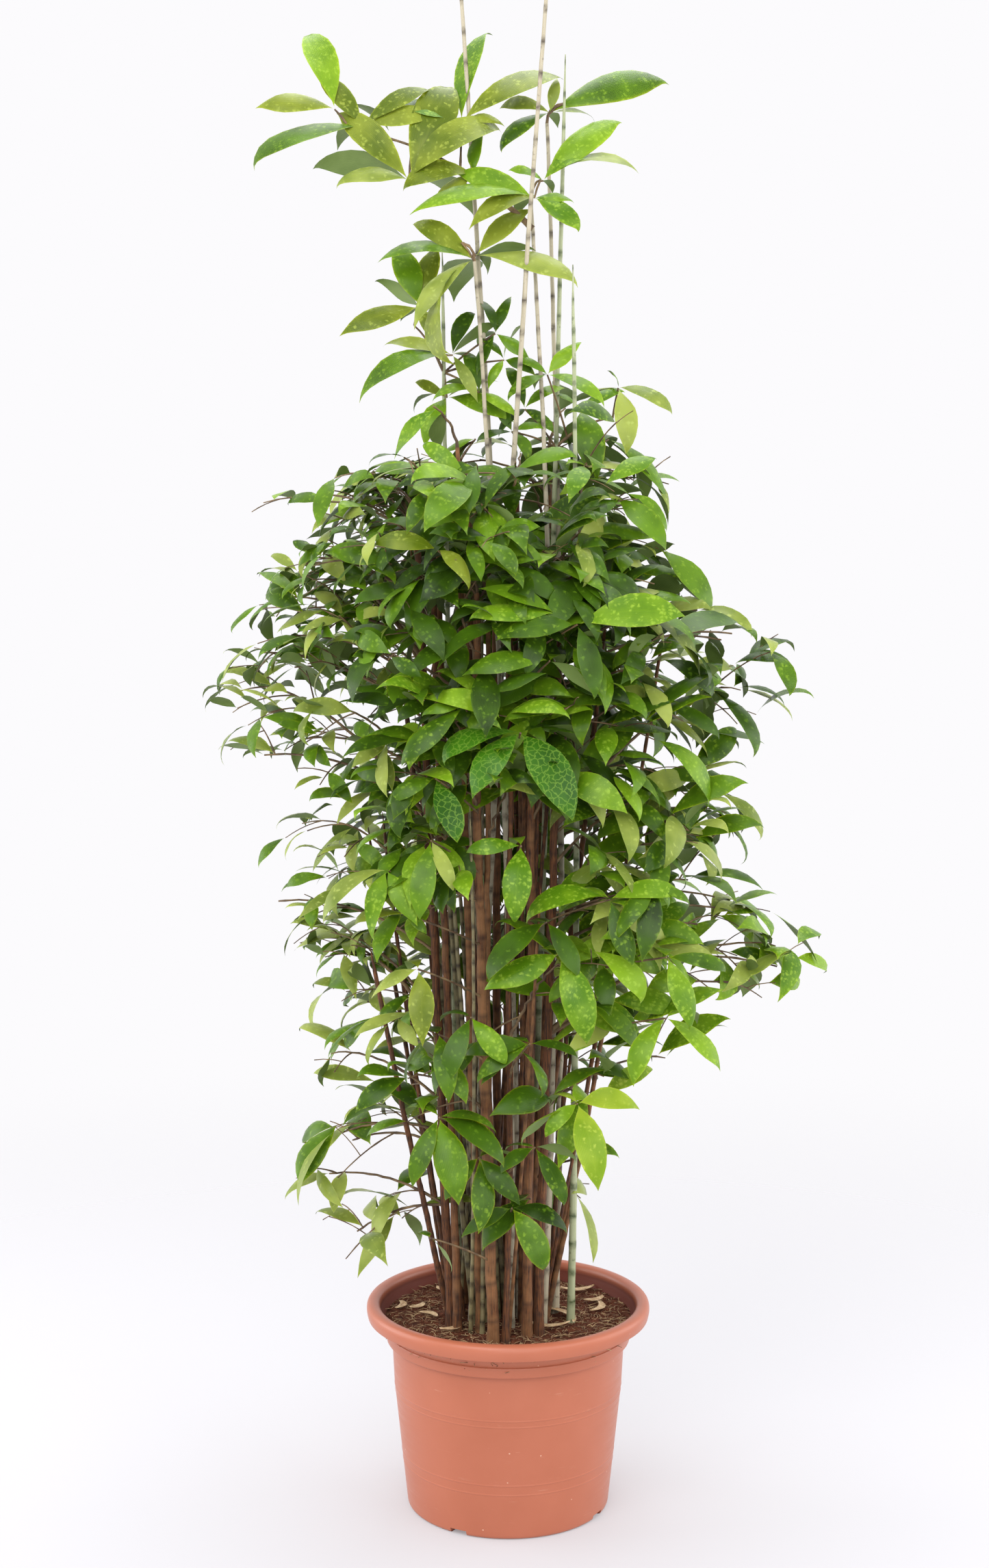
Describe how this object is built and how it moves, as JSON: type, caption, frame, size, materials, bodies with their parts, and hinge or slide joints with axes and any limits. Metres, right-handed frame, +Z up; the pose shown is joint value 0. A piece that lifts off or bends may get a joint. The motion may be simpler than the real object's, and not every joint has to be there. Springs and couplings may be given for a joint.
{
  "type": "potted dracaena",
  "caption": "Tall potted dracaena: a clump of slender canes in a rolled-rim plastic pot, with sprays of spotted leaves up its sides and leafy tufts near the top.",
  "frame": {"origin": "middle of the pot's flat underside, on the floor", "axes": "+Z up along the canes, -Y towards the front that the picture shows, +X to the right of that view"},
  "size_m": [0.8903, 0.6425, 2.2],
  "materials": {
    "pot_plastic": "semi-matt moulded terracotta-coloured plastic",
    "potting_soil": "loose peat and coir with straw fibres",
    "ringed_cane": "smooth ringed green to straw-coloured cane",
    "woody_cane": "fibrous brown bark with node rings",
    "bough_bark": "thin brown bark",
    "foliage": "glossy green leaves with pale spots"
  },
  "bodies": {
    "root": {"bough_broad_high_1": "bough_bark", "bough_broad_high_4": "bough_bark", "bough_broad_low_1": "bough_bark", "bough_broad_low_2": "bough_bark", "bough_tuft_left": "bough_bark", "bough_upper_1": "bough_bark", "foliage_broad_high_1": "foliage", "foliage_broad_high_2": "foliage", "foliage_broad_high_3": "foliage", "foliage_broad_high_4": "foliage", "foliage_broad_high_5": "foliage", "foliage_broad_low_1": "foliage", "foliage_broad_low_2": "foliage", "foliage_broad_low_3": "foliage", "foliage_broad_low_4": "foliage", "foliage_crest_1": "foliage", "foliage_crest_2": "foliage", "foliage_crest_3": "foliage", "foliage_foot_1": "foliage", "foliage_foot_2": "foliage", "foliage_foot_3": "foliage", "foliage_low_1": "foliage", "foliage_low_2": "foliage", "foliage_low_3": "foliage", "foliage_low_4": "foliage", "foliage_low_5": "foliage", "foliage_middle_1": "foliage", "foliage_middle_2": "foliage", "foliage_middle_3": "foliage", "foliage_middle_4": "foliage", "foliage_tuft_inner": "foliage", "foliage_tuft_left": "foliage", "foliage_tuft_low": "foliage", "foliage_tuft_middle": "foliage", "foliage_tuft_right": "foliage", "foliage_tuft_side": "foliage", "foliage_upper_1": "foliage", "foliage_upper_2": "foliage", "foliage_upper_3": "foliage", "foliage_upper_4": "foliage", "foliage_upper_5": "foliage", "pot": "pot_plastic", "soil": "potting_soil", "tall_cane_1": "ringed_cane", "tall_cane_2": "ringed_cane", "tall_cane_3": "ringed_cane", "tall_cane_4": "ringed_cane", "tall_cane_5": "ringed_cane", "tall_cane_6": "ringed_cane", "tall_cane_7": "ringed_cane", "tall_cane_8": "ringed_cane", "woody_canes_1": "woody_cane", "woody_canes_2": "woody_cane", "woody_canes_3": "woody_cane", "woody_canes_4": "woody_cane", "woody_canes_5": "woody_cane", "woody_canes_6": "woody_cane", "woody_canes_7": "woody_cane", "woody_canes_8": "woody_cane"}
  },
  "joints": []
}
